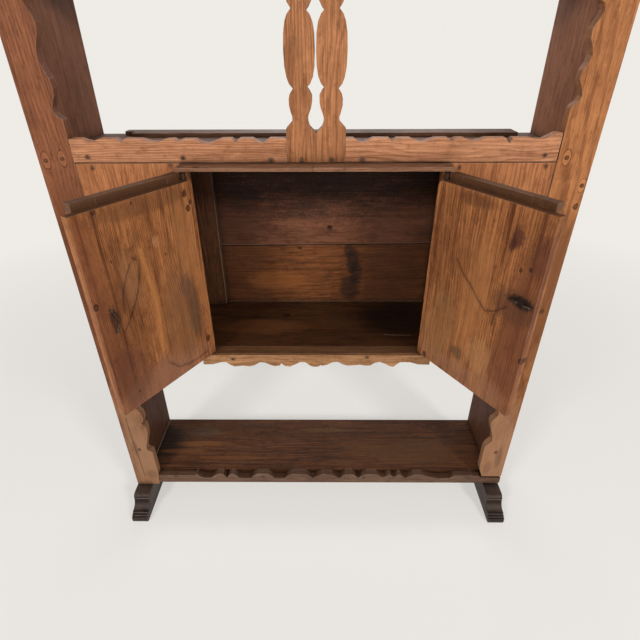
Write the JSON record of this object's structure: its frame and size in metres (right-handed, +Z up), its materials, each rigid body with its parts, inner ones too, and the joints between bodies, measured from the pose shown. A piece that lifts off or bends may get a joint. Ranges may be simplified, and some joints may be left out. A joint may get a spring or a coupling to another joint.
{
  "type": "cabinet",
  "caption": "Tall shallow cabinet on shoe feet: open bay below, cupboard with pin-hung doors, open display top with scalloped boards and baluster splats",
  "frame": {"origin": "on the floor, at the centre of the bounding box's underside", "axes": "+X to the right hand of someone facing the front, +Y from the front to the back, +Z up"},
  "size_m": [1.25, 0.5508, 1.8],
  "materials": {
    "front_pine": "waxed, worn",
    "side_pine": "waxed, dark",
    "shelf_pine": "waxed, dusty",
    "back_pine": "dry, dark",
    "door_pine": "dry, worn",
    "foot_wood": "dark, polished by wear",
    "pin_wood": "dry",
    "iron": "forged, dark"
  },
  "bodies": {
    "carcass": {"left_front_stile": "front_pine", "right_front_stile": "front_pine", "left_fixed_panel": "front_pine", "right_fixed_panel": "front_pine", "left_lower_rail": "front_pine", "right_lower_rail": "front_pine", "left_upper_rail": "front_pine", "right_upper_rail": "front_pine", "left_splat": "front_pine", "right_splat": "front_pine", "top_front_rail": "front_pine", "bottom_apron": "front_pine", "cupboard_apron": "front_pine", "header_ledge": "front_pine", "cupboard_sill": "front_pine", "plate_strip": "front_pine", "left_side_plank": "side_pine", "right_side_plank": "side_pine", "bottom_shelf": "shelf_pine", "cupboard_floor": "shelf_pine", "upper_shelf": "shelf_pine", "middle_shelf": "shelf_pine", "top_board": "shelf_pine", "back_plank_lower": "back_pine", "back_plank_upper": "back_pine", "left_back_batten": "back_pine", "right_back_batten": "back_pine", "left_foot": "foot_wood", "right_foot": "foot_wood", "carcass_nails": "iron", "stile_pegs": "pin_wood"},
    "left_door": {"left_door_plank": "door_pine", "left_top_rail": "door_pine", "left_bottom_rail": "door_pine", "left_hinge_stile": "door_pine", "left_free_stile": "door_pine", "left_field_panel": "door_pine", "left_top_pintle": "pin_wood", "left_bottom_pintle": "pin_wood", "left_pull_loop": "iron"},
    "right_door": {"right_door_plank": "door_pine", "right_top_rail": "door_pine", "right_bottom_rail": "door_pine", "right_hinge_stile": "door_pine", "right_free_stile": "door_pine", "right_field_panel": "door_pine", "right_top_pintle": "pin_wood", "right_bottom_pintle": "pin_wood", "right_pull_loop": "iron"}
  },
  "joints": [
    {"name": "left_door_swing", "type": "hinge", "parent": "carcass", "child": "left_door", "pos_m": [-0.285, -0.024, 0.86], "axis": [0, 0, 1], "range_deg": [-48.6, 121.4]},
    {"name": "right_door_swing", "type": "hinge", "parent": "carcass", "child": "right_door", "pos_m": [0.285, -0.024, 0.86], "axis": [0, 0, 1], "range_deg": [-121.4, 48.6]}
  ]
}
